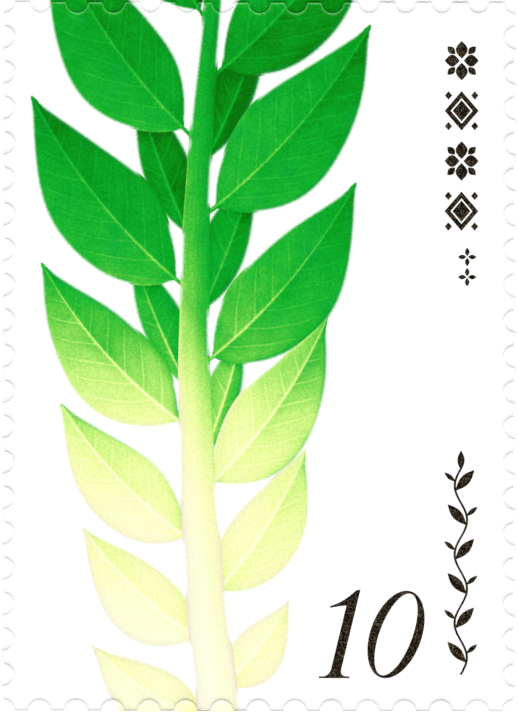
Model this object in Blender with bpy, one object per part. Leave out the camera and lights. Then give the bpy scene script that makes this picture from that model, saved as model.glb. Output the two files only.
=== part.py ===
"""A self-adhesive postage stamp on its release liner, with the strip of sheet left round it.

Metres, +Z up. The origin is the centre of the liner's underside, +X is to the picture's right and
+Y to its top. The knife cut round the stamp goes through the paper and the adhesive and leaves the
liner whole, so that the stamp peels off by itself and the surround stays behind.
"""

import math

import bmesh
import bpy

MM = 0.001

# The knife line: flat teeth with rounded shoulders between round notches, and a notch on each corner.
STAMP_WIDTH = 28.0 * MM
STAMP_HEIGHT = 38.85 * MM
PITCHES_ACROSS = 14
PITCHES_UP = 20
NOTCH_RADIUS = 0.60 * MM
NOTCH_DEPTH = 0.58 * MM
SHOULDER_RADIUS = 0.09 * MM
NOTCH_STEPS = 8
CORNER_STEPS = 4
SHOULDER_STEPS = 2
KNIFE_GAP = 0.01 * MM

# The sheet: the surround reaches this far past the knife line, and the layers lie on each other.
SURROUND_MARGIN = 2.0 * MM
LINER_THICKNESS = 0.10 * MM
ADHESIVE_THICKNESS = 0.02 * MM
PAPER_THICKNESS = 0.08 * MM
LAYER_GAP = 0.005 * MM

LINER_BOTTOM = 0.0
ADHESIVE_BOTTOM = LINER_BOTTOM + LINER_THICKNESS + LAYER_GAP
PAPER_BOTTOM = ADHESIVE_BOTTOM + ADHESIVE_THICKNESS + LAYER_GAP

# Linear colour and roughness of each material.
PAPER_WHITE = (0.90, 0.90, 0.88)
PAPER_ROUGHNESS = 0.55
ADHESIVE_STRAW = (0.80, 0.76, 0.62)
ADHESIVE_ROUGHNESS = 0.25
LINER_GREY = (0.78, 0.79, 0.76)
LINER_ROUGHNESS = 0.38


def clear_scene():
    for old in list(bpy.data.objects):
        bpy.data.objects.remove(old, do_unlink=True)


def arc(centre, radius, start, end, steps):
    """Points on a circle from one angle to another, both ends included."""
    angles = [start + (end - start) * i / steps for i in range(steps + 1)]
    return [(centre[0] + radius * math.cos(a), centre[1] + radius * math.sin(a)) for a in angles]


def shoulder_place(sunk):
    """How far a shoulder's centre is from its notch's centre along the side, and the angle to it."""
    rise = SHOULDER_RADIUS + sunk
    run = math.sqrt((NOTCH_RADIUS + SHOULDER_RADIUS) ** 2 - rise**2)
    return run, math.atan2(rise, run)


def toothed_side(length, reach, pitches, inset):
    """One side of the knife line, drawn left to right at y = -reach, with its left corner's notch.

    inset moves the line towards the stamp's middle, which widens its notches by as much."""
    down = -math.pi / 2
    shoulder_radius = SHOULDER_RADIUS - inset
    shoulder_y = -reach + SHOULDER_RADIUS

    def shoulder(x, start, end):
        return arc((x, shoulder_y), shoulder_radius, start, end, SHOULDER_STEPS)

    run, tilt = shoulder_place(0.0)
    corner_x = -length / 2
    corner = arc((corner_x, -reach), NOTCH_RADIUS + inset, math.pi / 2 - tilt, tilt, CORNER_STEPS)
    points = corner + shoulder(corner_x + run, math.pi + tilt, math.pi - down)[1:]

    sunk = NOTCH_RADIUS - NOTCH_DEPTH
    run, tilt = shoulder_place(sunk)
    for i in range(1, pitches):
        x = corner_x + i * length / pitches
        notch = arc((x, -reach - sunk), NOTCH_RADIUS + inset, math.pi - tilt, tilt, NOTCH_STEPS)
        points += shoulder(x - run, down, -tilt)[:-1] + notch
        points += shoulder(x + run, math.pi + tilt, math.pi - down)[1:]
    run, tilt = shoulder_place(0.0)
    return points + shoulder(length / 2 - run, down, -tilt)[:-1]


def knife_line(inset):
    """The closed toothed outline, counter-clockwise, moved inwards by inset."""
    sides = (
        (STAMP_WIDTH, STAMP_HEIGHT / 2, PITCHES_ACROSS),
        (STAMP_HEIGHT, STAMP_WIDTH / 2, PITCHES_UP),
    ) * 2
    points = []
    for quarter, (length, reach, pitches) in enumerate(sides):
        cos, sin = round(math.cos(quarter * math.pi / 2)), round(math.sin(quarter * math.pi / 2))
        for x, y in toothed_side(length, reach, pitches, inset):
            points.append((x * cos - y * sin, x * sin + y * cos))
    return points


def sheet_edge():
    """The straight outer cut of the sheet, counter-clockwise."""
    x, y = STAMP_WIDTH / 2 + SURROUND_MARGIN, STAMP_HEIGHT / 2 + SURROUND_MARGIN
    return [(-x, -y), (x, -y), (x, y), (-x, y)]


def plain_material(name, colour, roughness):
    material = bpy.data.materials.new(name)
    material.use_nodes = True
    shader = material.node_tree.nodes["Principled BSDF"]
    shader.inputs["Base Color"].default_value = (*colour, 1.0)
    shader.inputs["Roughness"].default_value = roughness
    shader.inputs["Metallic"].default_value = 0.0
    return material


def layer(name, outlines, bottom, thickness, material):
    """A flat layer between its outlines: the first is its outer edge, and any other is a window."""
    shape = bmesh.new()
    edges = []
    for outline in outlines:
        corners = [shape.verts.new((x, y, 0.0)) for x, y in outline]
        edges += [shape.edges.new(pair) for pair in zip(corners, corners[1:] + corners[:1])]
    bmesh.ops.triangle_fill(shape, use_beauty=True, use_dissolve=False, edges=edges)
    for face in shape.faces:
        face.normal_update()
        if face.normal.z < 0:
            face.normal_flip()
    mesh = bpy.data.meshes.new(name)
    shape.to_mesh(mesh)
    shape.free()
    mesh.materials.append(material)
    made = bpy.data.objects.new(name, mesh)
    made.location.z = bottom
    bpy.context.scene.collection.objects.link(made)
    thicken = made.modifiers.new("Thickness", "SOLIDIFY")
    thicken.thickness = thickness
    thicken.offset = 1.0
    return made


def build():
    clear_scene()
    paper = plain_material("stamp_paper", PAPER_WHITE, PAPER_ROUGHNESS)
    adhesive = plain_material("adhesive", ADHESIVE_STRAW, ADHESIVE_ROUGHNESS)
    liner = plain_material("release_liner", LINER_GREY, LINER_ROUGHNESS)
    stamp_edge = knife_line(KNIFE_GAP / 2)
    window = knife_line(-KNIFE_GAP / 2)
    edge = sheet_edge()

    layer("release_liner", [edge], LINER_BOTTOM, LINER_THICKNESS, liner)
    layer("stamp_adhesive", [stamp_edge], ADHESIVE_BOTTOM, ADHESIVE_THICKNESS, adhesive)
    layer("surround_adhesive", [edge, window], ADHESIVE_BOTTOM, ADHESIVE_THICKNESS, adhesive)
    layer("stamp_face", [stamp_edge], PAPER_BOTTOM, PAPER_THICKNESS, paper)
    layer("surround_face", [edge, window], PAPER_BOTTOM, PAPER_THICKNESS, paper)


build()
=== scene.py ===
"""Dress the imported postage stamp: its printed paper, its adhesive, its release liner, the light.

Every sheet is drawn flat, in millimetres, as lines and areas that cut one triangulation. The knife
line, the pressed edge beside it and the outlines of the print are then real edges of one closed
mesh, and the print is the paper's own surface, not a film laid on it.
"""

import math

import bpy
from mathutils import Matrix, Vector, noise
from mathutils.geometry import delaunay_2d_cdt
from mathutils.kdtree import KDTree


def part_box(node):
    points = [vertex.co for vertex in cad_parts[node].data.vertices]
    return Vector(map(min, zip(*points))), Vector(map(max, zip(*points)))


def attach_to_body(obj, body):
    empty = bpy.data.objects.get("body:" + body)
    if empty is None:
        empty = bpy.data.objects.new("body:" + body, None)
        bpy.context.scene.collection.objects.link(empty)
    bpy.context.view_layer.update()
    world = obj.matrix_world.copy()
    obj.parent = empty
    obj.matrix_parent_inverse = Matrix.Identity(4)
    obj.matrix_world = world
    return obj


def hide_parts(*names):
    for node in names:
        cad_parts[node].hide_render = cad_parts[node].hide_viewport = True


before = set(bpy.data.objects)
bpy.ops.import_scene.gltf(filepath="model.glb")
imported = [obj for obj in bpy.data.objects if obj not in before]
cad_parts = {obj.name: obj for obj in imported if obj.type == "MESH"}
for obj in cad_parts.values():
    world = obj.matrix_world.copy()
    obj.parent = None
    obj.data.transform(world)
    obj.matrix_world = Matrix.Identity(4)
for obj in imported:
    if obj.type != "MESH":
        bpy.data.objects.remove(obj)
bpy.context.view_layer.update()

MM = 0.001


def box_in_mm(node):
    """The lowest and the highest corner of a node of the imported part."""
    low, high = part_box(node)
    return low / MM, high / MM


STAMP_LOW, STAMP_HIGH = box_in_mm("stamp_face")
SHEET_LOW, SHEET_HIGH = box_in_mm("surround_face")
LINER_LOW, LINER_HIGH = box_in_mm("release_liner")

# The knife line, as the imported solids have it. Sizes here and below are in millimetres.
SOLIDS_GAP = 0.01
STAMP_WIDTH = 2 * STAMP_HIGH.x + SOLIDS_GAP
STAMP_HEIGHT = 2 * STAMP_HIGH.y + SOLIDS_GAP
PITCHES_ACROSS = 14
PITCHES_UP = 20
NOTCH_RADIUS = 0.60
NOTCH_DEPTH = 0.58
SHOULDER_RADIUS = 0.09
NOTCH_STEPS = 16
CORNER_STEPS = 8
SHOULDER_STEPS = 3
# A knife leaves no open slit in paper, so the printed sheets' cut is finer than the solids'.
KNIFE_GAP = 0.003

# The knife rolls the stamp's edge down: how far in from the cut, and how far down there.
PRESSED_EDGE = ((0.0, 0.064), (0.045, 0.037), (0.092, 0.017), (0.145, 0.005), (0.205, 0.0))
# The paper outside the cut sinks to it more gently.
OUTER_EDGE = (
    (0.0, 0.054),
    (0.035, 0.036),
    (0.080, 0.020),
    (0.130, 0.011),
    (0.240, 0.005),
    (0.400, 0.0),
)
# The paper keeps at least this thickness where it is pressed.
THINNEST_PAPER = 0.006
# The knife also leaves a faint line on the liner's back: how far from the cut, and how deep.
WITNESS_LINE = ((-0.05, 0.0), (0.0, 0.004), (0.05, 0.0))
# It presses a little harder here than there, by this share, in stretches of about this length.
UNEVEN_PRESSING = 0.35
PRESSING_STRETCH = 2.6

# The mesh's loose points stand this far apart, and keep this far from the points of its lines.
GRID_STEP = 0.30
GRID_CLEARANCE = 0.12
# Points that are closer than this are one point.
CUT_TOLERANCE = 1e-6
# Faces that turn by more than this where they meet have a sharp edge there.
SHARP_ANGLE = math.radians(50)

# The picture runs on past the knife line as far as this.
BLEED = 1.0
# The print's edge on bare paper is soft over this width, but at most halfway to the midrib.
SOFT_RIM = 0.24
# At a tip the rim still counts as this wide.
LEAST_RIM = 1e-6
# How deep a point is in the rim is counted up to this many times the rim's width.
DEEPEST_IN_RIM = 3.0
# A blade shades the ones behind it over about this distance.
SHADE_REACH = 0.55


# Outlines


def arc(centre, radius, start, end, steps):
    """Points on a circle from one angle to another, both ends included."""
    angles = [start + (end - start) * i / steps for i in range(steps + 1)]
    return [(centre[0] + radius * math.cos(a), centre[1] + radius * math.sin(a)) for a in angles]


def shoulder_place(sunk, turned):
    """How far a shoulder's centre is from its notch's centre along the side, and the angle to it.

    turned is the radius that the shoulder's centre stands in from the side."""
    tilt = math.asin((turned + sunk) / (NOTCH_RADIUS + turned))
    return (NOTCH_RADIUS + turned) * math.cos(tilt), tilt


def toothed_side(length, reach, pitches, inset):
    """One side of the knife line, drawn left to right at y = -reach, with its left corner's notch.

    inset moves the line towards the stamp's middle, which widens its notches by as much, and
    leaves a sharp corner for a shoulder once it is more than the shoulder's radius."""
    down = -math.pi / 2
    turned = max(SHOULDER_RADIUS, inset)

    def shoulder(x, start, end):
        if inset >= SHOULDER_RADIUS:
            return []
        return arc((x, turned - reach), SHOULDER_RADIUS - inset, start, end, SHOULDER_STEPS)

    corner_x = -length / 2
    corner_run, corner_tilt = shoulder_place(0.0, turned)
    corner, radius = (corner_x, -reach), NOTCH_RADIUS + inset
    points = arc(corner, radius, math.pi / 2 - corner_tilt, corner_tilt, CORNER_STEPS)
    points += shoulder(corner_x + corner_run, math.pi + corner_tilt, math.pi - down)[1:]

    sunk = NOTCH_RADIUS - NOTCH_DEPTH
    run, tilt = shoulder_place(sunk, turned)
    for i in range(1, pitches):
        x = corner_x + i * length / pitches
        points += shoulder(x - run, down, -tilt)[:-1]
        points += arc((x, -reach - sunk), radius, math.pi - tilt, tilt, NOTCH_STEPS)
        points += shoulder(x + run, math.pi + tilt, math.pi - down)[1:]
    return points + shoulder(length / 2 - corner_run, down, -corner_tilt)[:-1]


def knife_line(inset):
    """The closed toothed outline, counter-clockwise, moved inwards by inset."""
    sides = (
        (STAMP_WIDTH, STAMP_HEIGHT / 2, PITCHES_ACROSS),
        (STAMP_HEIGHT, STAMP_WIDTH / 2, PITCHES_UP),
    ) * 2
    points = []
    for quarter, (length, reach, pitches) in enumerate(sides):
        cos, sin = round(math.cos(quarter * math.pi / 2)), round(math.sin(quarter * math.pi / 2))
        for x, y in toothed_side(length, reach, pitches, inset):
            points.append((x * cos - y * sin, x * sin + y * cos))
    return points


def rectangle(half_width, half_height):
    """The four corners of a rectangle about the middle, counter-clockwise."""
    return [
        (-half_width, -half_height),
        (half_width, -half_height),
        (half_width, half_height),
        (-half_width, half_height),
    ]


def ellipse(centre, half_width, half_height, lean=0.0, steps=64):
    """An ellipse whose long axis leans clockwise by an angle."""
    cos, sin = math.cos(lean), math.sin(lean)
    points = []
    for i in range(steps):
        turn = math.tau * i / steps
        x, y = half_width * math.cos(turn), half_height * math.sin(turn)
        points.append((centre[0] + x * cos + y * sin, centre[1] - x * sin + y * cos))
    return points


def petal(base, heading, length, half_width, steps=10):
    """A lens that starts at its base and points along its heading."""
    cos, sin = math.cos(heading), math.sin(heading)
    points = []
    for side, shares in ((1, range(steps)), (-1, range(steps, 0, -1))):
        for i in shares:
            x = length * i / steps
            y = side * half_width * math.sin(math.pi * i / steps)
            points.append((base[0] + x * cos - y * sin, base[1] + x * sin + y * cos))
    return points


def lozenge(centre, half_width, half_height):
    """A rectangle stood on its corner."""
    x, y = centre
    return [(x - half_width, y), (x, y - half_height), (x + half_width, y), (x, y + half_height)]


def curve(start, pull, end, steps=8):
    """Points from start to end along a curve drawn towards a third point, both ends included."""
    points = []
    for i in range(steps + 1):
        t = i / steps
        first, middle, last = (1 - t) ** 2, 2 * t * (1 - t), t**2
        points.append(tuple(first * a + middle * b + last * c for a, b, c in zip(start, pull, end)))
    return points


# The printed sprig


class Blade:
    """A leaf or a stem of the printed sprig: a width along a midrib that bends evenly.

    tone is how much deeper its print is than the rest, waver is where its edge's sway starts, and
    fuller is the share of its width that its left half gains and its right half loses."""

    # The edge sways by this share of its width, and through this angle in each millimetre. One side
    # is this angle ahead in its sway, and the other as far behind.
    SWAY = 0.025
    SWAY_RATE = 0.9
    SIDE_SWAY = 2.0

    def __init__(self, base, heading, length, bend, half_width, tone, waver, fuller=0.0):
        self.heading = heading
        self.length = length
        self.curve = bend / length
        self.half_width = half_width
        self.tone = tone
        self.waver = waver
        self.fuller = fuller
        self.centre = Vector(base) - self.spoke(heading) / self.curve

    def turn(self, along):
        """The midrib's heading, that far along it."""
        return self.heading + self.curve * along

    @staticmethod
    def spoke(turn):
        """The way from the midrib's centre of curvature to where the midrib has that heading."""
        return Vector((math.sin(turn), -math.cos(turn)))

    def point(self, along, across):
        """The point that far along the midrib, and that far to its left."""
        return self.centre + self.spoke(self.turn(along)) * (1 / self.curve - across)

    def locate(self, point):
        """How far along the midrib a point is, and how far to its left."""
        turned = 1 if self.curve > 0 else -1
        out = (Vector(point) - self.centre) * turned
        turn = math.atan2(out.x, -out.y) - self.heading
        turn = (turn + math.pi) % math.tau - math.pi
        return turn / self.curve, 1 / self.curve - turned * out.length

    def reach(self, along, side):
        """The blade's half width on one side of the midrib, with its edge's sway."""
        share = min(max(along / self.length, 0.0), 1.0)
        sway = self.SWAY * math.sin(self.SWAY_RATE * along + self.waver + self.SIDE_SWAY * side)
        return self.half_width * self.swell(share) * (1 + sway + self.fuller * side)

    def swell(self, share):
        """The width at a share of the length, beside the greatest width."""
        raise NotImplementedError

    def outside(self, point):
        """How far outside the blade a point is, or 0 inside it."""
        along, across = self.locate(point)
        beyond = max(-along, along - self.length, 0.0)
        beside = max(abs(across) - self.reach(along, math.copysign(1, across)), 0.0)
        return math.hypot(beyond, beside)

    def outline(self, steps=44):
        """Up the right side and down the left one."""
        places = [i / steps * self.length for i in range(steps + 1)]
        right = [self.point(along, -self.reach(along, -1)) for along in places]
        left = [self.point(along, self.reach(along, 1)) for along in reversed(places)]
        return right + left

    def midrib(self, steps=30):
        """Points along the midrib, without its ends."""
        return [self.point(self.length * i / steps, 0.0) for i in range(1, steps)]


class Leaf(Blade):
    """A broad leaf with a drawn-out tip, on a short stalk."""

    # The stalk's shares of the length and of the greatest width.
    STALK = 0.09
    STALK_WIDTH = 0.055
    # How bluntly the leaf opens from its stalk, and how far its tip is drawn out.
    BASE_POWER = 0.82
    TIP_POWER = 1.30

    def swell(self, share):
        along = max(share - self.STALK, 0.0) / (1 - self.STALK)
        widest = self.BASE_POWER / (self.BASE_POWER + self.TIP_POWER)
        opening = (along / widest) ** self.BASE_POWER
        closing = ((1 - along) / (1 - widest)) ** self.TIP_POWER
        return max(opening * closing, self.STALK_WIDTH * (1 - share))

    def outline(self, steps=56):
        """Both sides meet in one point at the tip."""
        points = super().outline(steps)
        return points[: steps + 1] + points[steps + 2 :]


class Stem(Blade):
    """The sprig's stem, slimmer towards its end."""

    # The share of its width that it loses on the way.
    SLIMMING = 0.58

    def swell(self, share):
        return 1 - self.SLIMMING * share


STEM = Stem(
    base=(-2.0, -20.7),
    heading=math.radians(98),
    length=41.6,
    bend=math.radians(-15),
    half_width=1.22,
    tone=-0.03,
    waver=0.4,
)

# Each leaf of the sprig, from the front: how far up the stem it starts, the side that it is on (1
# is left), its angle to the stem in degrees, its length, its bend in degrees, its half width, its
# tone beside the rest, and the share of its width that its left half gains and its right loses.
LEAVES = (
    (0.1, 1, 60, 8.8, -24, 1.85, 0.04, 0.10),
    (2.3, -1, 56, 6.6, 22, 1.50, 0.03, -0.08),
    (4.9, 1, 54, 9.8, -26, 2.05, 0.02, 0.12),
    (7.3, -1, 50, 10.2, 24, 2.05, 0.04, -0.08),
    (10.3, 1, 53, 11.4, -26, 2.20, 0.00, 0.10),
    (13.2, -1, 52, 12.2, 26, 2.30, -0.02, -0.10),
    (16.6, 1, 54, 13.0, -28, 2.50, -0.02, 0.08),
    (20.0, -1, 54, 14.0, 26, 2.70, 0.04, -0.12),
    (24.2, 1, 53, 14.5, -26, 2.80, 0.04, 0.06),
    (28.2, -1, 51, 14.8, 24, 2.85, -0.03, -0.06),
    (32.4, 1, 51, 14.6, -24, 2.85, -0.03, 0.10),
    (35.8, -1, 47, 14.0, 22, 2.75, 0.02, -0.10),
    (38.8, 1, 38, 13.0, -14, 2.55, 0.02, 0.0),
    (14.6, -1, 27, 8.6, 14, 1.15, 0.02, 0.20),
    (18.4, 1, 28, 9.6, -14, 1.30, 0.04, -0.20),
    (22.4, -1, 26, 10.2, 12, 1.40, 0.07, 0.20),
    (26.6, 1, 27, 10.4, -12, 1.45, 0.08, -0.20),
    (30.8, -1, 25, 10.0, 12, 1.40, 0.08, 0.20),
)
# The sway of each leaf's edge starts this angle after the last one's.
WAVER_STEP = 1.3


def sprig():
    """The stem and its leaves, from the one at the back to the one in front."""
    leaves = []
    for number, (start, side, angle, length, bend, half_width, tone, fuller) in enumerate(LEAVES):
        base = STEM.point(start, 0.0)
        heading = STEM.turn(start) + side * math.radians(angle)
        waver = WAVER_STEP * number
        bend = math.radians(bend)
        leaves.append(Leaf(base, heading, length, bend, half_width, tone, waver, fuller))
    return leaves[::-1] + [STEM]


# The value and the margin's ornament, in one black ink

# The value stands at this place, is this high, and slants by this share of its height.
NUMERAL_BASE = Vector((2.95, -17.60))
NUMERAL_HEIGHT = 4.8
NUMERAL_SLANT = 0.24
ONE_LEFT = 0.35
NOUGHT_LEFT = 2.55


def slanted(points):
    """A numeral's upright outline, slanted and set on the line where the value stands."""
    return [(NUMERAL_BASE.x + x + NUMERAL_SLANT * y, NUMERAL_BASE.y + y) for x, y in points]


def numeral_one(left):
    """A one with a flag, a stout stem, and a thin foot that swells into the stem."""
    foot, stem, thin, swelling = 0.84, 0.28, 0.10, 0.55
    middle, top = left + foot, NUMERAL_HEIGHT
    flag_tip, flag_drop, flag_end = (middle - 1.16, top - 0.95), 0.82, 0.10
    points = [(middle - foot, 0.0), (middle + foot, 0.0), (middle + foot, thin)]
    points += curve((middle + 0.8 * foot, thin), (middle + stem, thin), (middle + stem, swelling))
    points += [(middle + stem, top + 0.06)]
    flag_top = (flag_tip[0], flag_tip[1] + flag_end)
    points += curve((middle + 0.2 * stem, top + 0.02), (middle - 1.6 * stem, top - 0.62), flag_top)
    points += curve(flag_tip, (middle - 2.2 * stem, top - 0.84), (middle - stem, top - flag_drop))
    points += curve((middle - stem, swelling), (middle - stem, thin), (middle - 0.8 * foot, thin))
    points += [(middle - foot, thin)]
    return slanted(points)


def numeral_nought(left):
    """A nought's outer and inner outline: stout sides and thin ends."""
    half_width, half_height = 1.46, NUMERAL_HEIGHT / 2
    centre = (left + half_width, half_height)
    stout, thin, lean = 0.52, 0.15, 0.09
    outer = ellipse(centre, half_width, half_height)
    inner = ellipse(centre, half_width - stout, half_height - thin, lean)
    return slanted(outer), slanted(inner)


# The margin's upper column: figures one under the other, and small stars below them.
MARGIN_X = 11.08
FIGURES = 4
FIGURE_PITCH = 2.75
FIGURES_TOP = 16.25
FIGURE_HALF_WIDTH = 0.93
FIGURE_HALF_HEIGHT = 1.08
STARS = 2
STAR_X = 11.40
STAR_PITCH = 1.10
STARS_TOP = 5.49
STAR_REACH = 0.51

# The margin's lower column: a wavy vine, with a leaf and a bud at each bend.
VINE_TOP = -6.1
VINE_FOOT = -17.4
VINE_SWAY = 0.34
VINE_WAVES = 3
VINE_HALF_WIDTH = 0.065
# A leaf starts this share of the way along its bend, and its bud this far above it.
VINE_LEAF_PLACE = 0.35
VINE_LEAF_LEAN = math.radians(42)
VINE_BUD_LEAN = math.radians(50)
VINE_BUD_RISE = 0.5


def whorl(centre, middle, reaches, half_width, turn=0.0):
    """Petals round a bare middle, each with its tip as far out as its reach."""
    petals = []
    for i, reach in enumerate(reaches):
        heading = turn + math.tau * i / len(reaches)
        start = Vector(centre) + Vector((math.cos(heading), math.sin(heading))) * middle
        petals.append(petal(start, heading, reach - middle, half_width))
    return petals


def rosette(centre):
    """Four broad petals with four short ones between them."""
    reaches = (FIGURE_HALF_WIDTH, FIGURE_HALF_HEIGHT) * 2
    broad = whorl(centre, middle=0.11, reaches=reaches, half_width=0.33)
    short = whorl(centre, middle=0.50, reaches=(1.10,) * 4, half_width=0.19, turn=math.pi / 4)
    return [(outline, True) for outline in broad + short]


def star(centre):
    """Four small petals."""
    petals = whorl(centre, middle=0.04, reaches=(STAR_REACH,) * 4, half_width=0.125)
    return [(outline, True) for outline in petals]


def inlaid_lozenge(centre):
    """A lozenge with a bare line in it, and a small one off each of its sides."""
    line, inlay, small, small_off = (0.60, 0.70), (0.50, 0.585), (0.20, 0.235), (0.72, 0.84)
    shapes = [
        (lozenge(centre, FIGURE_HALF_WIDTH, FIGURE_HALF_HEIGHT), True),
        (lozenge(centre, *line), False),
        (lozenge(centre, *inlay), True),
    ]
    for x, y in rectangle(*small_off):
        shapes.append((lozenge((centre[0] + x, centre[1] + y), *small), True))
    return shapes


def vine_x(y):
    """How far right the vine's stem is at a height."""
    waves = VINE_WAVES * math.tau * (y - VINE_FOOT) / (VINE_TOP - VINE_FOOT)
    return MARGIN_X + VINE_SWAY * math.sin(waves)


def vine(steps=72):
    """A wavy stem with a leaf and a bud at each bend, and a leaf on top."""
    heights = [VINE_FOOT + (VINE_TOP - VINE_FOOT) * i / steps for i in range(steps + 1)]
    right = [(vine_x(y) + VINE_HALF_WIDTH, y) for y in heights]
    left = [(vine_x(y) - VINE_HALF_WIDTH, y) for y in reversed(heights)]
    shapes = [right + left]
    bends = 2 * VINE_WAVES
    up = math.pi / 2
    for i in range(bends):
        y = VINE_FOOT + (VINE_TOP - VINE_FOOT) * (i + VINE_LEAF_PLACE) / bends
        x = vine_x(y)
        side = -1 if i % 2 == 0 else 1
        shapes.append(petal((x, y), up - side * VINE_LEAF_LEAN, length=1.55, half_width=0.27))
        bud_base = (x, y + VINE_BUD_RISE)
        shapes.append(petal(bud_base, up + side * VINE_BUD_LEAN, length=0.8, half_width=0.13))
    shapes.append(petal((vine_x(VINE_TOP), VINE_TOP - 0.1), up, length=1.1, half_width=0.2))
    return shapes


def inked_shapes():
    """Outlines in black ink, and outlines cut out of them, as (points, inked) from the back."""
    outer, inner = numeral_nought(NOUGHT_LEFT)
    shapes = [(numeral_one(ONE_LEFT), True), (outer, True), (inner, False)]
    for i in range(FIGURES):
        figure = inlaid_lozenge if i % 2 else rosette
        shapes += figure((MARGIN_X, FIGURES_TOP - i * FIGURE_PITCH))
    for i in range(STARS):
        shapes += star((STAR_X, STARS_TOP - i * STAR_PITCH))
    shapes += [(outline, True) for outline in vine()]
    return shapes


# Sheets


class Drawing:
    """Lines and areas in one plane, which cut each other into triangles."""

    def __init__(self):
        self.points = []
        self.lines = []
        self.drops = {}
        self.areas = []

    def line(self, points, drop=None, closed=True):
        """Draw a line. drop is how far below the sheet's face the paper is along it."""
        numbers = list(range(len(self.points), len(self.points) + len(points)))
        self.points += [Vector(point) for point in points]
        ends = numbers[1:] + numbers[:1] if closed else numbers[1:]
        for pair in zip(numbers, ends):
            if drop is not None:
                self.drops[len(self.lines)] = drop
            self.lines.append(pair)
        return numbers

    def area(self, points, drop=None):
        """Draw a closed outline counter-clockwise, and return the number of the area inside it."""
        twice = sum(a[0] * b[1] - b[0] * a[1] for a, b in zip(points, points[1:] + points[:1]))
        self.areas.append(self.line(points if twice > 0 else points[::-1], drop))
        return len(self.areas) - 1

    def scatter(self, half_width, half_height):
        """Add loose points in rows, so that what varies over the face is written often enough."""
        tree = KDTree(len(self.points))
        for number, point in enumerate(self.points):
            tree.insert((*point, 0.0), number)
        tree.balance()
        rows, columns = int(half_height / GRID_STEP), int(half_width / GRID_STEP)
        for row in range(-rows, rows + 1):
            for column in range(-columns, columns + 1):
                place = (GRID_STEP * (column + 0.5 * (row % 2)), GRID_STEP * row, 0.0)
                if tree.find(place)[2] > GRID_CLEARANCE:
                    self.points.append(Vector(place[:2]))

    def cut(self):
        """The points, the triangles, the areas over each triangle, and the drop at each point."""
        cut = delaunay_2d_cdt(self.points, self.lines, self.areas, 0, CUT_TOLERANCE, True)
        points, edges, triangles, _, edge_sources, covers = cut
        drops = {}
        for edge, sources in zip(edges, edge_sources):
            for source in sources:
                if source in self.drops:
                    drops[edge[0]] = drops[edge[1]] = self.drops[source]
        return points, triangles, covers, drops


def pressing(point):
    """How hard the knife pressed at a point, beside its usual pressure."""
    place = (point.x / PRESSING_STRETCH, point.y / PRESSING_STRETCH, 0.0)
    return 1 + UNEVEN_PRESSING * noise.noise(place)


# A sheet's finishes, in the order of its material slots.
BARE, LEAF, STEM_INK, BLACK, EDGE = range(5)


class Sheet:
    """A closed sheet cut from a drawing: its face, its back and the walls round them.

    It fills the area numbered inside, but not the one numbered outside. The drawing's drops are
    pressed into its face, or into its back."""

    def __init__(self, drawing, inside, outside, low, high, drops_on_back=False):
        points, triangles, covers, drops = drawing.cut()
        kept = [i for i, cover in enumerate(covers) if inside in cover and outside not in cover]
        used = sorted({corner for i in kept for corner in triangles[i]})
        number = {corner: i for i, corner in enumerate(used)}
        count = len(used)
        self.flat = [points[corner] for corner in used]
        self.covers = [covers[i] for i in kept]
        self.face = [tuple(number[corner] for corner in triangles[i]) for i in kept]
        back = [tuple(count + corner for corner in reversed(triangle)) for triangle in self.face]
        sides = {(t[i], t[(i + 1) % 3]) for t in self.face for i in range(3)}
        rim = sorted((a, b) for a, b in sides if (b, a) not in sides)
        self.walls = [(count + a, count + b, b, a) for a, b in rim]
        pressed = [drops.get(corner, 0.0) * pressing(points[corner]) for corner in used]
        self.down = [min(down, high - low - THINNEST_PAPER) for down in pressed]
        tops = [high - (0.0 if drops_on_back else d) for d in self.down]
        feet = [low + (d if drops_on_back else 0.0) for d in self.down]
        self.vertices = [(p.x, p.y, z) for p, z in zip(self.flat, tops)]
        self.vertices += [(p.x, p.y, z) for p, z in zip(self.flat, feet)]
        self.faces = self.face + back + self.walls

    def build(self, name, finishes, finish_of):
        """Make the object. finish_of gives a face triangle's finish from the areas over it."""
        mesh = bpy.data.meshes.new(name)
        mesh.from_pydata([Vector(v) * MM for v in self.vertices], [], self.faces)
        for finish in finishes:
            mesh.materials.append(finish)
        chosen = [finish_of(cover) for cover in self.covers]
        chosen += [BARE] * len(self.face) + [EDGE] * len(self.walls)
        mesh.polygons.foreach_set("material_index", chosen)
        mesh.polygons.foreach_set("use_smooth", [True] * len(self.faces))
        mesh.set_sharp_from_angle(angle=SHARP_ANGLE)
        return into_scene(name, mesh)


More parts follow.
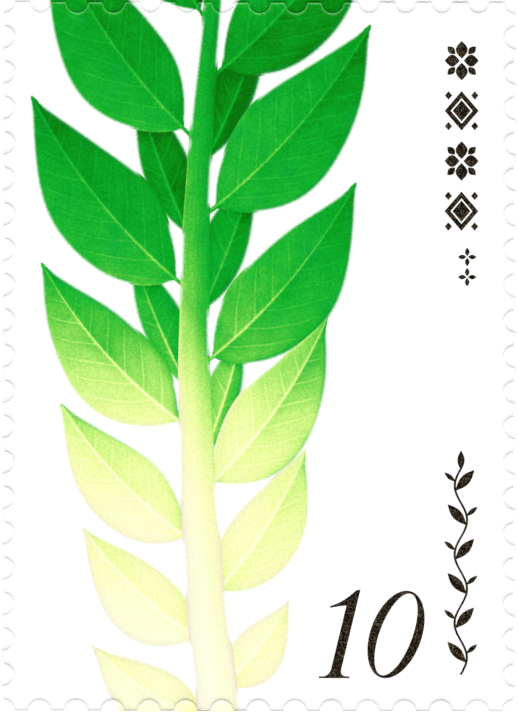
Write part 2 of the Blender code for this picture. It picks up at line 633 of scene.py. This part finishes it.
class Picture:
    """What is printed on a sheet: the areas of a drawing that are inked, from the back."""

    def __init__(self, drawing):
        self.blades = sprig()
        self.bleed = drawing.area(rectangle(STAMP_WIDTH / 2 + BLEED, STAMP_HEIGHT / 2 + BLEED))
        self.first_blade = len(drawing.areas)
        for blade in self.blades:
            drawing.area(blade.outline())
            drawing.line(blade.midrib(), closed=False)
        self.first_black = len(drawing.areas)
        shapes = inked_shapes()
        for outline, _ in shapes:
            drawing.area(outline)
        self.inked = [inked for _, inked in shapes]

    def blade_over(self, cover):
        """The number of the blade printed over a triangle, or None."""
        if self.bleed not in cover:
            return None
        over = [i - self.first_blade for i in cover if self.first_blade <= i < self.first_black]
        return max(over) if over else None

    def finish(self, cover):
        """A triangle's finish, from the areas over it."""
        if self.bleed not in cover:
            return BARE
        black = [i - self.first_black for i in cover if i >= self.first_black]
        if black and self.inked[max(black)]:
            return BLACK
        blade = self.blade_over(cover)
        if blade is None:
            return BARE
        return STEM_INK if self.blades[blade] is STEM else LEAF

    def shade_under(self, number, point):
        """How much the blades in front shade a point of one behind them, from 0 to 1."""
        gaps = [blade.outside(point) for blade in self.blades[number + 1 :]]
        return math.exp(-min(gaps) / SHADE_REACH) if gaps else 0.0

    def bare_behind(self, number, point):
        """How bare the paper behind a blade is at a point: 1, but less near a blade behind it."""
        gaps = [blade.outside(point) for blade in self.blades[:number]]
        return min(min(gaps) / SOFT_RIM, 1.0) if gaps else 1.0

    def at_corner(self, number, point):
        """Where a point is on its blade, the blade's tone there, and its place in the blade's rim.

        The rim's three values are how deep the point is in it, 1 where it ends, how far the rim
        there faces right, from -1 to 1, and how bare the paper behind it is."""
        blade = self.blades[number]
        along, across = blade.locate(point)
        side = math.copysign(1, across)
        reach = blade.reach(along, side)
        edge = max(reach - abs(across), 0.0)
        depth = edge / max(min(SOFT_RIM, reach / 2), LEAST_RIM)
        place = (across, along, edge)
        tone = (blade.tone, self.shade_under(number, point), along / blade.length)
        bare = self.bare_behind(number, blade.point(along, side * reach))
        rim = (min(depth, DEEPEST_IN_RIM), -side * math.sin(blade.turn(along)), bare)
        return place, tone, rim

    def lay_on(self, made, sheet):
        """Write what each corner of the print is on its blade, for the ink's shader to read."""
        places, tones, rims = [], [], []
        known = {}
        for triangle, cover in zip(sheet.face, sheet.covers):
            number = self.blade_over(cover)
            for corner in triangle:
                if number is None:
                    found = ((0.0, 0.0, 0.0),) * 3
                elif (number, corner) in known:
                    found = known[number, corner]
                else:
                    found = known[number, corner] = self.at_corner(number, sheet.flat[corner])
                places += found[0]
                tones += found[1]
                rims += found[2]
        corners = len(made.data.loops)
        for name, values in (("blade_place", places), ("blade_tone", tones), ("blade_rim", rims)):
            attribute = made.data.attributes.new(name, "FLOAT_VECTOR", "CORNER")
            attribute.data.foreach_set("vector", values + [0.0] * (3 * corners - len(values)))


def note_pressing(made, sheet):
    """Write how far down the paper is pressed at each point, 1 at the cut, for the ink's shader."""
    down_at_cut = PRESSED_EDGE[0][1]
    pressed = [down / down_at_cut for down in sheet.down]
    attribute = made.data.attributes.new("pressed", "FLOAT", "POINT")
    attribute.data.foreach_set("value", pressed + [0.0] * len(pressed))


# Shaders


class Value:
    """A shader socket with Python's arithmetic: each sum or product adds its Math node."""

    def __init__(self, nodes, socket):
        self.nodes = nodes
        self.socket = socket

    def __add__(self, other):
        return self.nodes.maths("ADD", self, other)

    def __radd__(self, other):
        return self.nodes.maths("ADD", other, self)

    def __sub__(self, other):
        return self.nodes.maths("SUBTRACT", self, other)

    def __rsub__(self, other):
        return self.nodes.maths("SUBTRACT", other, self)

    def __mul__(self, other):
        return self.nodes.maths("MULTIPLY", self, other)

    def __rmul__(self, other):
        return self.nodes.maths("MULTIPLY", other, self)

    def __truediv__(self, other):
        return self.nodes.maths("DIVIDE", self, other)

    def __abs__(self):
        return self.nodes.maths("ABSOLUTE", self)


def lay_stops(elements, stops):
    """Give a colour ramp its stops, as (position, colour)."""
    while len(elements) < len(stops):
        elements.new(1.0)
    for element, (position, colour) in zip(elements, stops):
        element.position = position
        element.color = colour


class Nodes:
    """The nodes of one material or sky, added by its methods."""

    def __init__(self, owner, end):
        owner.use_nodes = True
        self.owner = owner
        self.tree = owner.node_tree
        self.end = self.tree.nodes[end]

    def node(self, kind, settings=None, sockets=None, output=0):
        """Add a node of a type, with its settings and its sockets' values or links."""
        made = self.tree.nodes.new(kind)
        for name, setting in (settings or {}).items():
            if name == "stops":
                lay_stops(made.color_ramp.elements, setting)
            else:
                setattr(made, name, setting)
        for name, term in (sockets or {}).items():
            self.plug(made.inputs[name], term)
        return Value(self, made.outputs[output])

    def plug(self, socket, term):
        """Link a socket to a value of the shader, or set it to a plain one."""
        if isinstance(term, Value):
            self.tree.links.new(term.socket, socket)
        else:
            socket.default_value = term

    def set(self, **sockets):
        """Set or link the last node's own sockets, named with _ for a space."""
        for name, term in sockets.items():
            self.plug(self.end.inputs[name.replace("_", " ")], term)
        return self.owner

    def maths(self, operation, *terms):
        """An operation of the Math node on its terms."""
        return self.node("ShaderNodeMath", {"operation": operation}, dict(enumerate(terms)))

    def apart(self, vector):
        """A vector's three values."""
        first = self.node("ShaderNodeSeparateXYZ", sockets={"Vector": vector})
        return [Value(self, socket) for socket in first.socket.node.outputs]

    def ramp(self, value, stops):
        """A value's colour by its stops, as (position, colour)."""
        return self.node("ShaderNodeValToRGB", {"stops": stops}, {"Fac": value}, output="Color")


class Finish(Nodes):
    """One procedural material, in millimetres."""

    def __init__(self, name):
        super().__init__(bpy.data.materials.new(name), "Principled BSDF")
        coordinates = self.node("ShaderNodeTexCoord", output="Object")
        self.place = self.node(
            "ShaderNodeVectorMath", {"operation": "SCALE"}, {"Vector": coordinates, "Scale": 1 / MM}
        )

    def attribute(self, name, output="Vector"):
        """What the piece's mesh says under a name."""
        return self.node("ShaderNodeAttribute", {"attribute_name": name}, output=output)

    def noise(self, scale, detail=2.0, place=None, stretch=None):
        """Noise about 0, from -0.5 to 0.5, at a scale per millimetre."""
        place = place or self.place
        if stretch:
            sockets = {0: place, 1: stretch}
            place = self.node("ShaderNodeVectorMath", {"operation": "MULTIPLY"}, sockets)
        sockets = {"Vector": place, "Scale": scale, "Detail": detail}
        return self.node("ShaderNodeTexNoise", sockets=sockets, output="Fac") - 0.5

    def uneven(self, middle, spread, scale):
        """A value that varies about its middle by a spread, at a scale per millimetre."""
        return self.noise(scale) * spread + middle

    def step(self, value, low, high):
        """A smooth step from 0 at low to 1 at high."""
        sockets = {"Value": value, "From Min": low, "From Max": high}
        return self.node("ShaderNodeMapRange", {"interpolation_type": "SMOOTHSTEP"}, sockets)

    def fade(self, distance, length):
        """1 at a distance of 0, and less by a factor of e at each length from there."""
        return self.maths("EXPONENT", distance * (-1 / length))

    def blend(self, share, first, second):
        """The first colour, with a share of the second."""
        sockets = {"Factor": share, 6: first, 7: second}
        return self.node("ShaderNodeMix", {"data_type": "RGBA"}, sockets, output=2)

    def bump(self, height, strength, depth):
        """The normal over a height from about 0 to 1, which stands for a depth in millimetres."""
        sockets = {"Height": height, "Strength": strength, "Distance": depth * MM}
        return self.node("ShaderNodeBump", sockets=sockets)


# Colours


PAPER_ALBEDO = 0.90


def linear(level):
    """An 8-bit display level as light."""
    share = level / 255
    return share / 12.92 if share <= 0.04045 else ((share + 0.055) / 1.055) ** 2.4


def printed(red, green, blue):
    """An ink's colour on this paper, by the 8-bit levels that it shows where the paper is white."""
    return (*(PAPER_ALBEDO * linear(level) for level in (red, green, blue)), 1.0)


# The print's colour, from its palest tone to its deepest.
GREENS = (
    (0.00, printed(253, 254, 228)),
    (0.12, printed(252, 254, 215)),
    (0.24, printed(250, 254, 188)),
    (0.33, printed(236, 253, 158)),
    (0.42, printed(200, 244, 126)),
    (0.50, printed(146, 226, 92)),
    (0.58, printed(86, 203, 64)),
    (0.66, printed(36, 188, 50)),
    (0.76, printed(6, 174, 42)),
    (0.86, printed(0, 158, 28)),
    (0.94, printed(0, 138, 12)),
    (1.00, printed(0, 116, 4)),
)
COOL_GREEN = printed(0, 164, 66)
# A pale colour's rim, and what a deep one passes through at its rim.
PINK_EDGE = printed(238, 214, 206)
TEAL_RIM = printed(20, 150, 80)
# The pale green is also the painted highlight, with the wear, on the stamp's pressed edge.
THIN_AND_LIT_GREEN = printed(140, 218, 150)
# The bare paper is a shade brighter than the white that the inks are mixed for.
PAPER_WHITE = (1.035 * PAPER_ALBEDO, 1.035 * PAPER_ALBEDO, 1.03 * PAPER_ALBEDO, 1.0)
PAPER_SHADE = (1.01 * PAPER_ALBEDO, 1.01 * PAPER_ALBEDO, 1.0 * PAPER_ALBEDO, 1.0)
CORE_WHITE = (0.84, 0.83, 0.79, 1.0)
CORE_SHADE = (0.70, 0.69, 0.64, 1.0)
INK_BLACK = (0.0045, 0.0022, 0.0012, 1.0)
INK_WARM = (0.185, 0.088, 0.034, 1.0)
INK_COOL = (0.078, 0.104, 0.072, 1.0)
ADHESIVE_STRAW = (0.80, 0.74, 0.56, 1.0)
ADHESIVE_AMBER = (0.70, 0.62, 0.42, 1.0)
LINER_CREAM = (0.80, 0.79, 0.72, 1.0)
LINER_SHADE = (0.70, 0.68, 0.60, 1.0)
FLOOR_GREY = (0.585, 0.585, 0.578, 1.0)

# The picture's tone up its height, where 0 is the palest and 1 the deepest: its tone at the foot,
# how much it gains all the way up, how much more it gains between two shares of the height, and
# the share above which it stays as it is.
TONE_AT_FOOT = 0.07
TONE_GAIN = 0.58
TURN_GAIN = 0.26
TURN_START = 0.245
TURN_END = 0.68
TOP_SHARE = 0.93

# The screen of printed dots.
DOT_PITCH = 0.145
DOT_ANGLE = math.radians(15)

# A leaf's side veins: how far apart they are, how far they lean to the tip in each millimetre
# outwards, how much more so further out, how far they sway, how wide they are, and how far off and
# how wide the dark beside them is. Then the midrib's width, and that of the dark beside it.
VEIN_PITCH = 1.45
VEIN_LEAN = 0.95
VEIN_BEND = 0.12
VEIN_SWAY = 0.6
VEIN_WIDTH = 0.06
VEIN_SHADE_OFF = 0.16
VEIN_SHADE_WIDTH = 0.12
MIDRIB_WIDTH = 0.045
MIDRIB_SHADE_WIDTH = 0.8

# How much paler or deeper each part of a leaf is, in tone.
VEIN_PALER = 0.085
VEIN_SHADE_DEEPER = 0.025
MIDRIB_PALER = 0.20
MIDRIB_SHADE_DEEPER = 0.06
LEFT_HALF_PALER = 0.075
RIM_DEEPER = 0.03
OVERLAP_DEEPER = 0.14
# A leaf gets deeper towards its tip, and has its own tone at this share of its length.
TIP_DEEPER = 0.10
OWN_TONE_SHARE = 0.4

# How deep the relief is, in millimetres, that each bump stands for.
TOOTH_DEPTH = 0.004
CORE_DEPTH = 0.006
ADHESIVE_DEPTH = 0.004
LINER_DEPTH = 0.003
# How strongly the paper's tooth and gloss show where it is bare, and where it is printed.
BARE_TOOTH = 0.25
PRINTED_TOOTH = 0.16
BARE_GLOSS = 0.18
PRINT_GLOSS = 0.06


# Paper and print


def paper_tooth(finish, strength):
    """The paper's fine tooth, with the longer fibres under it."""
    fibres = finish.noise(7.0, 3.0, stretch=(1.0, 0.45, 1.0))
    return finish.bump(finish.noise(30.0, 2.0) * 0.6 + fibres, strength, TOOTH_DEPTH)


def bare_paper():
    """White coated paper, a little cloudy, and matter than the print."""
    finish = Finish("bare_paper")
    cloud = finish.noise(1.1, 4.0) + finish.noise(9.0, 2.0) * 0.5
    colour = finish.blend(finish.step(cloud, -0.1, 0.5), PAPER_WHITE, PAPER_SHADE)
    return finish.set(
        Base_Color=colour,
        Roughness=finish.uneven(0.68, 0.15, 5.0),
        Specular_IOR_Level=BARE_GLOSS,
        Normal=paper_tooth(finish, BARE_TOOTH),
    )


def halftone(finish):
    """The faint screen of the printed dots."""
    x, y, _ = finish.apart(finish.place)
    turn = math.tau / DOT_PITCH
    cos, sin = turn * math.cos(DOT_ANGLE), turn * math.sin(DOT_ANGLE)
    return finish.maths("SINE", x * cos + y * sin) * finish.maths("SINE", y * cos - x * sin)


def speckle(finish):
    """The grain of the painted paper that was printed from, under the screen of the print."""
    return finish.noise(9.0, 3.0) * 0.17 + halftone(finish) * 0.03


def grained(finish, colour, tone):
    """A print colour, lighter and darker from dot to dot, and most so where the ink is strong."""
    grain = finish.noise(5.5, 3.0) * 0.50 + finish.noise(14.0, 1.0) * 0.75
    scale = grain * (finish.step(tone, 0.10, 0.60) * 0.74 + 0.26) + 1.0
    sockets = {"Vector": colour, "Scale": scale}
    return finish.node("ShaderNodeVectorMath", {"operation": "SCALE"}, sockets)


def print_tone(finish, tone, height):
    """A blade's own tone with the picture's: paler low down, and deeper higher up."""
    share = finish.maths("MINIMUM", (height + STAMP_HEIGHT / 2) / STAMP_HEIGHT, TOP_SHARE)
    clouded = share + finish.noise(0.28, 3.0) * 0.10
    turn = finish.step(clouded, TURN_START, TURN_END) * TURN_GAIN
    return clouded * TONE_GAIN + turn + tone + TONE_AT_FOOT


def strength(finish, tone):
    """How strongly the paint's clouds and grain show at a tone: most where it is deep."""
    return finish.step(tone, 0.40, 0.80) * 0.70 + 0.30


def leaf_print():
    """Green ink: a leaf's pale midrib and side veins, its darker rim, and the paint's clouds."""
    finish = Finish("leaf_print")
    across, along, edge = finish.apart(finish.attribute("blade_place"))
    own_tone, shade, share = finish.apart(finish.attribute("blade_tone"))
    _, height, _ = finish.apart(finish.place)
    beside = abs(across)
    left = finish.step(across, -0.02, 0.02)

    # The side veins start at the midrib, those of the left half between those of the right.
    lean = beside * VEIN_LEAN + beside * beside * VEIN_BEND
    sway = finish.noise(0.45) * VEIN_SWAY
    vein_place = (along - lean + left * (VEIN_PITCH / 2) + sway) / VEIN_PITCH
    from_vein = abs(finish.maths("FRACT", vein_place) - 0.5) * VEIN_PITCH
    vein = finish.fade(from_vein, VEIN_WIDTH) * finish.step(edge, 0.05, 0.9) * VEIN_PALER
    vein_shade = finish.fade(abs(from_vein - VEIN_SHADE_OFF), VEIN_SHADE_WIDTH)
    vein_shade = vein_shade * finish.step(edge, 0.0, 0.9) * VEIN_SHADE_DEEPER

    # The midrib thins towards the tip, and the half on its left is paler.
    from_midrib = finish.maths("MAXIMUM", beside - (1 - share) * MIDRIB_WIDTH, 0.0)
    midrib = finish.fade(from_midrib, MIDRIB_WIDTH) * MIDRIB_PALER
    midrib_shade = finish.fade(beside, MIDRIB_SHADE_WIDTH) * MIDRIB_SHADE_DEEPER
    half = finish.step(across, -0.15, 0.15) * -LEFT_HALF_PALER

    # The paint is cloudy, and brushed along the veins.
    paint = finish.noise(0.9, 4.0) * 0.17 + finish.noise(4.0, 3.0) * 0.09 + speckle(finish)
    sockets = {"X": vein_place * 4.0, "Y": beside * 0.5, "Z": own_tone * 90.0}
    brushed = finish.node("ShaderNodeCombineXYZ", sockets=sockets)
    streaks = finish.noise(1.0, 3.0, place=brushed) * 0.09

    rim = finish.fade(edge, 0.5) * RIM_DEEPER + plate_shift(finish)
    tip = (share - OWN_TONE_SHARE) * TIP_DEEPER
    tone = print_tone(finish, own_tone, height)
    paint = (paint + streaks) * strength(finish, tone)
    tone = tone + half + rim + midrib_shade + paint + shade * OVERLAP_DEEPER + tip
    tone = tone - vein + vein_shade - midrib
    return green_ink(finish, tone, edge)


def plate_shift(finish):
    """The rim's tone: the inks lie a hair apart, so it is paler on the left and else deeper."""
    depth, facing, _ = finish.apart(finish.attribute("blade_rim"))
    return finish.fade(depth, 0.6) * (0.10 - finish.step(facing, 0.1, -0.9) * 0.22)


def soft_rim(finish, colour, tone):
    """A colour that thins to bare paper at the rim: a deep one by way of teal and pale green."""
    depth, facing, bare = finish.apart(finish.attribute("blade_rim"))
    depth = depth + finish.noise(9.0, 2.0) * 0.4
    deep = finish.step(tone, 0.35, 0.65) * bare
    teal = finish.step(facing, 0.0, 0.9) * finish.step(depth, 1.7, 0.7) * deep * 0.45
    colour = finish.blend(teal, colour, TEAL_RIM)
    colour = finish.blend(finish.step(depth, 1.05, 0.35) * deep * 0.8, colour, THIN_AND_LIT_GREEN)
    return finish.blend(finish.step(depth, 0.85, 0.0) * bare, colour, PAPER_WHITE)


def edge_wear_and_highlight(finish, colour, tone):
    """A deep colour is a little paler where the knife pressed the stamp's edge down: partly worn
    ink, partly a painted highlight.
    """
    # Painted highlight and wear, on the stamp's side of the cut only, in every direction along it.
    pressed = finish.step(finish.attribute("pressed", "Fac"), 0.15, 0.80)
    return finish.blend(pressed * finish.step(tone, 0.35, 0.65) * 0.26, colour, THIN_AND_LIT_GREEN)


def green_ink(finish, tone, edge):
    """The ink's colour at a tone, cooler here and there, with the pale print's faint pink rim."""
    green = finish.ramp(tone, GREENS)
    middle = finish.step(tone, 0.45, 0.70) * finish.step(tone, 0.95, 0.75)
    cool = finish.step(finish.noise(0.55, 3.0), 0.0, 0.30) * middle * 0.5
    green = finish.blend(cool, green, COOL_GREEN)
    pink = finish.fade(edge, 0.20) * (1 - finish.step(tone, 0.20, 0.45)) * 0.8
    green = grained(finish, finish.blend(pink, green, PINK_EDGE), tone)
    return finish.set(
        # The pressed edge's painted highlight and wear go on last.
        Base_Color=edge_wear_and_highlight(finish, soft_rim(finish, green, tone), tone),
        Roughness=finish.uneven(0.42, 0.12, 4.0),
        Specular_IOR_Level=PRINT_GLOSS,
        Normal=paper_tooth(finish, PRINTED_TOOTH),
    )


def stem_print():
    """The stem's ink: deeper on the right, as if it were round, with fine lines along it."""
    finish = Finish("stem_print")
    across, along, edge = finish.apart(finish.attribute("blade_place"))
    own_tone, shade, _ = finish.apart(finish.attribute("blade_tone"))
    _, height, _ = finish.apart(finish.place)
    along_stem = finish.node("ShaderNodeCombineXYZ", sockets={"X": across * 9.0, "Y": along * 0.5})
    lines = finish.noise(1.0, 3.0, place=along_stem) * 0.14
    round_side = finish.step(across, 0.25, -0.55) * 0.10
    rim = plate_shift(finish)
    tone = print_tone(finish, own_tone, height)
    paint = (lines + finish.noise(1.3, 3.0) * 0.10 + speckle(finish)) * strength(finish, tone)
    tone = tone + round_side + rim + paint + shade * 0.1 - 0.06
    return green_ink(finish, tone, edge)


def black_print():
    """Black ink: thin here and there, and speckled where the paper's tooth shows through."""
    finish = Finish("black_print")
    speckles = finish.step(finish.noise(16.0, 2.0) + finish.noise(4.0) * 0.2, 0.02, 0.16)
    worn = finish.blend(finish.step(finish.noise(13.0), -0.12, 0.12), INK_WARM, INK_COOL)
    return finish.set(
        Base_Color=finish.blend(speckles, INK_BLACK, worn),
        Roughness=finish.uneven(0.46, 0.2, 6.0),
        Specular_IOR_Level=PRINT_GLOSS,
        Normal=paper_tooth(finish, PRINTED_TOOTH),
    )


def cut_edge():
    """The paper's core where the knife opens it: a little darker, and fibrous."""
    finish = Finish("paper_core")
    fibres = finish.noise(14.0, 3.0, stretch=(1.0, 1.0, 4.0))
    return finish.set(
        Base_Color=finish.blend(finish.step(fibres, -0.2, 0.3), CORE_WHITE, CORE_SHADE),
        Roughness=0.85,
        Normal=finish.bump(fibres, 0.6, CORE_DEPTH),
    )


# The adhesive, the liner and the floor


def clear_adhesive():
    """The adhesive's cut edge: straw coloured, glossy, and a little translucent."""
    finish = Finish("clear_adhesive")
    cloud = finish.step(finish.noise(3.0, 3.0), -0.2, 0.3)
    return finish.set(
        Base_Color=finish.blend(cloud, ADHESIVE_STRAW, ADHESIVE_AMBER),
        Roughness=finish.uneven(0.22, 0.15, 8.0),
        Subsurface_Weight=0.3,
        Subsurface_Scale=0.05 * MM,
        Normal=finish.bump(finish.noise(6.0, 2.0), 0.3, ADHESIVE_DEPTH),
    )


def liner_paper():
    """Dense release paper: satin from its silicone, with the cloudy formation of glassine."""
    finish = Finish("liner_paper")
    cloud = finish.noise(0.7, 5.0) + finish.noise(4.0, 2.0, stretch=(1.0, 0.4, 1.0)) * 0.5
    return finish.set(
        Base_Color=finish.blend(finish.step(cloud, -0.3, 0.4), LINER_CREAM, LINER_SHADE),
        Roughness=finish.uneven(0.36, 0.12, 3.0),
        Coat_Weight=0.25,
        Coat_Roughness=0.3,
        Normal=finish.bump(finish.noise(10.0, 3.0), 0.2, LINER_DEPTH),
    )


def floor_paint():
    """Plain, pale and quite matt."""
    finish = Finish("floor_paint")
    return finish.set(Base_Color=FLOOR_GREY, Roughness=1.0, Specular_IOR_Level=0.0)


# The pieces


def attach(piece, node):
    """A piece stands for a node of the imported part, on its one body."""
    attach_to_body(piece, "root")
    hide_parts(node)


def draw_pressed_edge(drawing, side):
    """Draw the cut and the lines beside it, into the stamp (1) or the surround (-1).

    It returns the number of the area inside the cut."""
    profile = PRESSED_EDGE if side > 0 else OUTER_EDGE
    lines = [(knife_line(side * (KNIFE_GAP / 2 + distance)), drop) for distance, drop in profile]
    cut = drawing.area(*lines[0])
    for outline, drop in lines[1:]:
        drawing.line(outline, drop)
    return cut


def paper_finishes():
    """The printed sheets' finishes, in the order of their slots."""
    return [bare_paper(), leaf_print(), stem_print(), black_print(), cut_edge()]


def stamp_paper(finishes):
    """The stamp itself, with its toothed edge pressed down by the knife."""
    drawing = Drawing()
    cut = draw_pressed_edge(drawing, 1)
    picture = Picture(drawing)
    drawing.scatter(STAMP_WIDTH / 2, STAMP_HEIGHT / 2)
    sheet = Sheet(drawing, cut, None, STAMP_LOW.z, STAMP_HIGH.z)
    made = sheet.build("stamp_face_printed", finishes, picture.finish)
    picture.lay_on(made, sheet)
    note_pressing(made, sheet)
    attach(made, "stamp_face")


def surround_paper(finishes):
    """The paper round the stamp, whose window has the same teeth."""
    drawing = Drawing()
    edge = drawing.area(rectangle(SHEET_HIGH.x, SHEET_HIGH.y))
    window = draw_pressed_edge(drawing, -1)
    picture = Picture(drawing)
    drawing.scatter(SHEET_HIGH.x, SHEET_HIGH.y)
    sheet = Sheet(drawing, edge, window, SHEET_LOW.z, SHEET_HIGH.z)
    made = sheet.build("surround_face_printed", finishes, picture.finish)
    picture.lay_on(made, sheet)
    attach(made, "surround_face")


def liner():
    """The liner, with the knife's witness line on its back."""
    drawing = Drawing()
    edge = drawing.area(rectangle(LINER_HIGH.x, LINER_HIGH.y))
    for distance, drop in WITNESS_LINE:
        drawing.line(knife_line(distance), drop)
    sheet = Sheet(drawing, edge, None, LINER_LOW.z, LINER_HIGH.z, drops_on_back=True)
    every_slot = [liner_paper()] * (EDGE + 1)
    made = sheet.build("release_liner_sheet", every_slot, lambda cover: BARE)
    attach(made, "release_liner")


def adhesive():
    """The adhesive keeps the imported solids' shape and gets its own finish."""
    finish = clear_adhesive()
    for node in ("stamp_adhesive", "surround_adhesive"):
        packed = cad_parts[node]
        packed.data.materials.clear()
        packed.data.materials.append(finish)


# The studio


# The camera looks straight down on this point, from the height that makes a millimetre of the
# stamp's face this many pixels. Its sensor's size counts along the picture's long side.
VIEW_CENTRE = Vector((0.0, 0.045))
PIXELS_PER_MM = 18.25
PHOTO_HEIGHT = 712
CAMERA_LENS = 100.0
SENSOR = 36.0
NEAREST_VIEW = 5.0
# The photographed stamp lies this much askew, so the camera is turned by as much.
VIEW_TURN = math.radians(0.105)

KEY_STRENGTH = 4.3
KEY_ELEVATION = math.radians(38)
KEY_SOFTNESS = math.radians(16)
# The fill's light by the height that it comes from: as bright as the floor where the two meet, and
# darker overhead, which the paper mirrors when it is looked at from above.
FILL = ((0.0, 0.657), (0.15, 0.50), (0.35, 0.36), (0.70, 0.26), (1.0, 0.20))
FLOOR_SIZE = 4000.0


def into_scene(name, data):
    """An object in the scene for a mesh, a camera or a light."""
    made = bpy.data.objects.new(name, data)
    bpy.context.scene.collection.objects.link(made)
    return made


def camera():
    """The camera, at the photograph's viewing angle."""
    lens = bpy.data.cameras.new("camera")
    lens.lens = CAMERA_LENS
    lens.sensor_width = SENSOR
    lens.clip_start = NEAREST_VIEW * MM
    height = PHOTO_HEIGHT / PIXELS_PER_MM * CAMERA_LENS / SENSOR
    made = into_scene("camera", lens)
    made.location = Vector((VIEW_CENTRE.x, VIEW_CENTRE.y, STAMP_HIGH.z + height)) * MM
    made.rotation_euler.z = VIEW_TURN
    bpy.context.scene.camera = made


def key_light():
    """A broad soft light from beyond the stamp's top edge."""
    lamp = bpy.data.lights.new("key", "SUN")
    lamp.energy = KEY_STRENGTH
    lamp.angle = KEY_SOFTNESS
    into_scene("key", lamp).rotation_euler.x = -(math.pi / 2 - KEY_ELEVATION)


def fill_light():
    """Soft light from all round."""
    sky = Nodes(bpy.data.worlds.new("fill"), "Background")
    _, _, height = sky.apart(sky.node("ShaderNodeTexCoord", output="Generated"))
    sky.set(Color=sky.ramp(height, [(place, (light, light, light, 1.0)) for place, light in FILL]))
    bpy.context.scene.world = sky.owner


def studio_floor():
    """The floor that the liner lies on."""
    reach = FLOOR_SIZE * MM / 2
    corners = [(x, y, LINER_LOW.z * MM) for x, y in rectangle(reach, reach)]
    mesh = bpy.data.meshes.new("floor")
    mesh.from_pydata(corners, [], [(0, 1, 2, 3)])
    mesh.materials.append(floor_paint())
    into_scene("floor", mesh)


def studio():
    """The camera, the light and the floor."""
    bpy.context.scene.view_settings.view_transform = "Standard"
    camera()
    key_light()
    fill_light()
    studio_floor()


def main():
    finishes = paper_finishes()
    stamp_paper(finishes)
    surround_paper(finishes)
    liner()
    adhesive()
    studio()


main()
